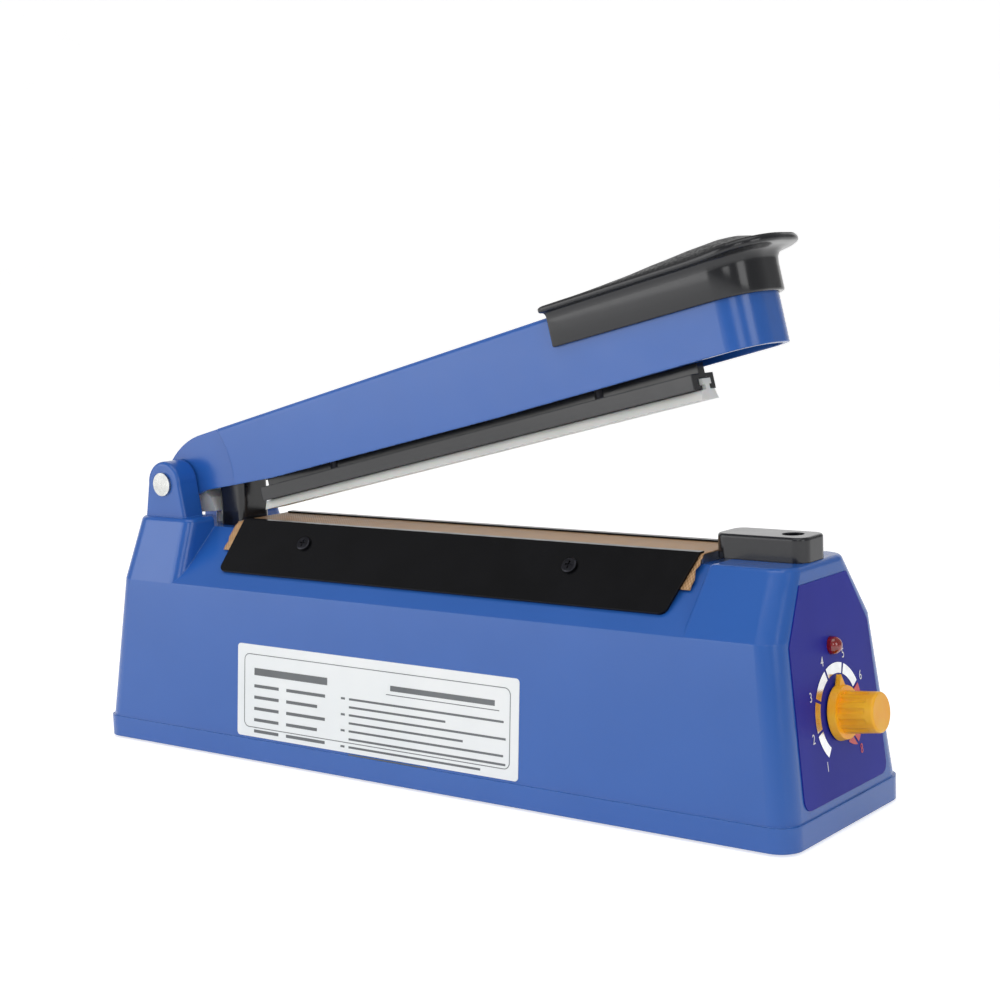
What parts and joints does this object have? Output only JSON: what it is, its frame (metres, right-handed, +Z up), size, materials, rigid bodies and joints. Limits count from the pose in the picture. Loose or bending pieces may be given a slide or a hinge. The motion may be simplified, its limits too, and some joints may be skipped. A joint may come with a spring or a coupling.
{
  "type": "impulse heat sealer",
  "caption": "Hand impulse heat sealer: a sprung hinged arm presses a silicone strip onto a heated platform, timed by a knob.",
  "frame": {"origin": "on the surface it stands on, under the middle of its bounding box", "axes": "+X from the hinge end to the knob end, +Y across to the far side, +Z up"},
  "size_m": [0.3324, 0.0814, 0.1958],
  "materials": {
    "abs_blue": "satin blue ABS",
    "aluminium": "extruded",
    "black_plastic": "black ABS",
    "black_screw": "black oxide",
    "black_steel": "black painted steel",
    "board": "green solder mask",
    "brass": "machined",
    "capacitor_sleeve": "shrink sleeve",
    "coil_tape": "yellow polyester tape",
    "core_steel": "varnished laminations",
    "dial_print": "screen-printed plate",
    "glass_tape": "woven glass tape",
    "label_print": "white film",
    "nichrome": "bright drawn strip",
    "orange_plastic": "orange ABS",
    "ptfe_cloth": "brown PTFE-coated glass cloth",
    "red_lens": "clear red epoxy",
    "relay_case": "blue relay case",
    "rubber": "black rubber",
    "silicone": "white silicone rubber",
    "spring_steel": "spring steel",
    "white_nylon": "natural nylon",
    "zinc": "zinc plated"
  },
  "bodies": {
    "base": {"board_screws": "zinc", "board_standoffs": "white_nylon", "bottom_plate": "black_steel", "bottom_screws": "zinc", "capacitor": "capacitor_sleeve", "clamp_screws": "black_screw", "clamp_spacers": "zinc", "cloth": "ptfe_cloth", "cord_grommet": "rubber", "cover_screw": "zinc", "dial_plate": "dial_print", "element_terminals": "brass", "feet": "rubber", "front_clamp_plate": "black_steel", "heating_element": "nichrome", "hinge_pin": "zinc", "housing": "abs_blue", "instruction_label": "label_print", "insulating_tape": "glass_tape", "led": "red_lens", "micro_switch": "black_plastic", "pin_clip": "zinc", "platform": "aluminium", "platform_screws": "zinc", "post_screws": "zinc", "pot_nut": "zinc", "potentiometer": "zinc", "rear_clamp_plate": "black_steel", "relay": "relay_case", "return_spring": "spring_steel", "spring_post": "black_plastic", "strap_screws": "zinc", "switch_screws": "zinc", "terminal_cover": "black_plastic", "timer_board": "board", "timer_chip": "black_plastic", "transformer_coil": "coil_tape", "transformer_core": "core_steel", "transformer_strap": "zinc"},
    "arm": {"arm_shell": "abs_blue", "hand_grip": "black_plastic", "grip_screws": "zinc", "trigger_block": "white_nylon", "pressure_springs": "spring_steel"},
    "bar": {"pressing_bar": "black_plastic", "silicone_strip": "silicone", "guide_pins": "black_screw"},
    "knob": {"knob": "orange_plastic", "pot_shaft": "zinc"},
    "plunger": {"switch_plunger": "white_nylon"}
  },
  "joints": [
    {"name": "arm_hinge", "type": "hinge", "parent": "base", "child": "arm", "pos_m": [-0.14165, 0, 0.1043], "axis": [0, 1, 0], "range_deg": [0, 12.9], "stiffness_Nm_per_rad": 1.5, "springref_deg": -28.65, "deforming": ["return_spring"]},
    {"name": "bar_float", "type": "slide", "parent": "arm", "child": "bar", "axis": [-0.2233, 0, 0.9748], "range_m": [0, 0.0061], "stiffness_N_per_m": 1500, "springref_m": -0.003, "deforming": ["pressure_springs"]},
    {"name": "knob_turn", "type": "hinge", "parent": "base", "child": "knob", "pos_m": [0.14984, 0, 0.0384], "axis": [0.9936, 0, 0.1132], "range_deg": [-140, 140]},
    {"name": "plunger_press", "type": "slide", "parent": "base", "child": "plunger", "axis": [0, 0, -1], "range_m": [0, 0.0017], "stiffness_N_per_m": 300, "springref_m": -0.001}
  ],
  "couplings": [
    {"joint": "bar_float", "follows": "arm_hinge", "m_per_rad": 0.027093},
    {"joint": "plunger_press", "follows": "arm_hinge", "m_per_rad": 0.007551}
  ]
}
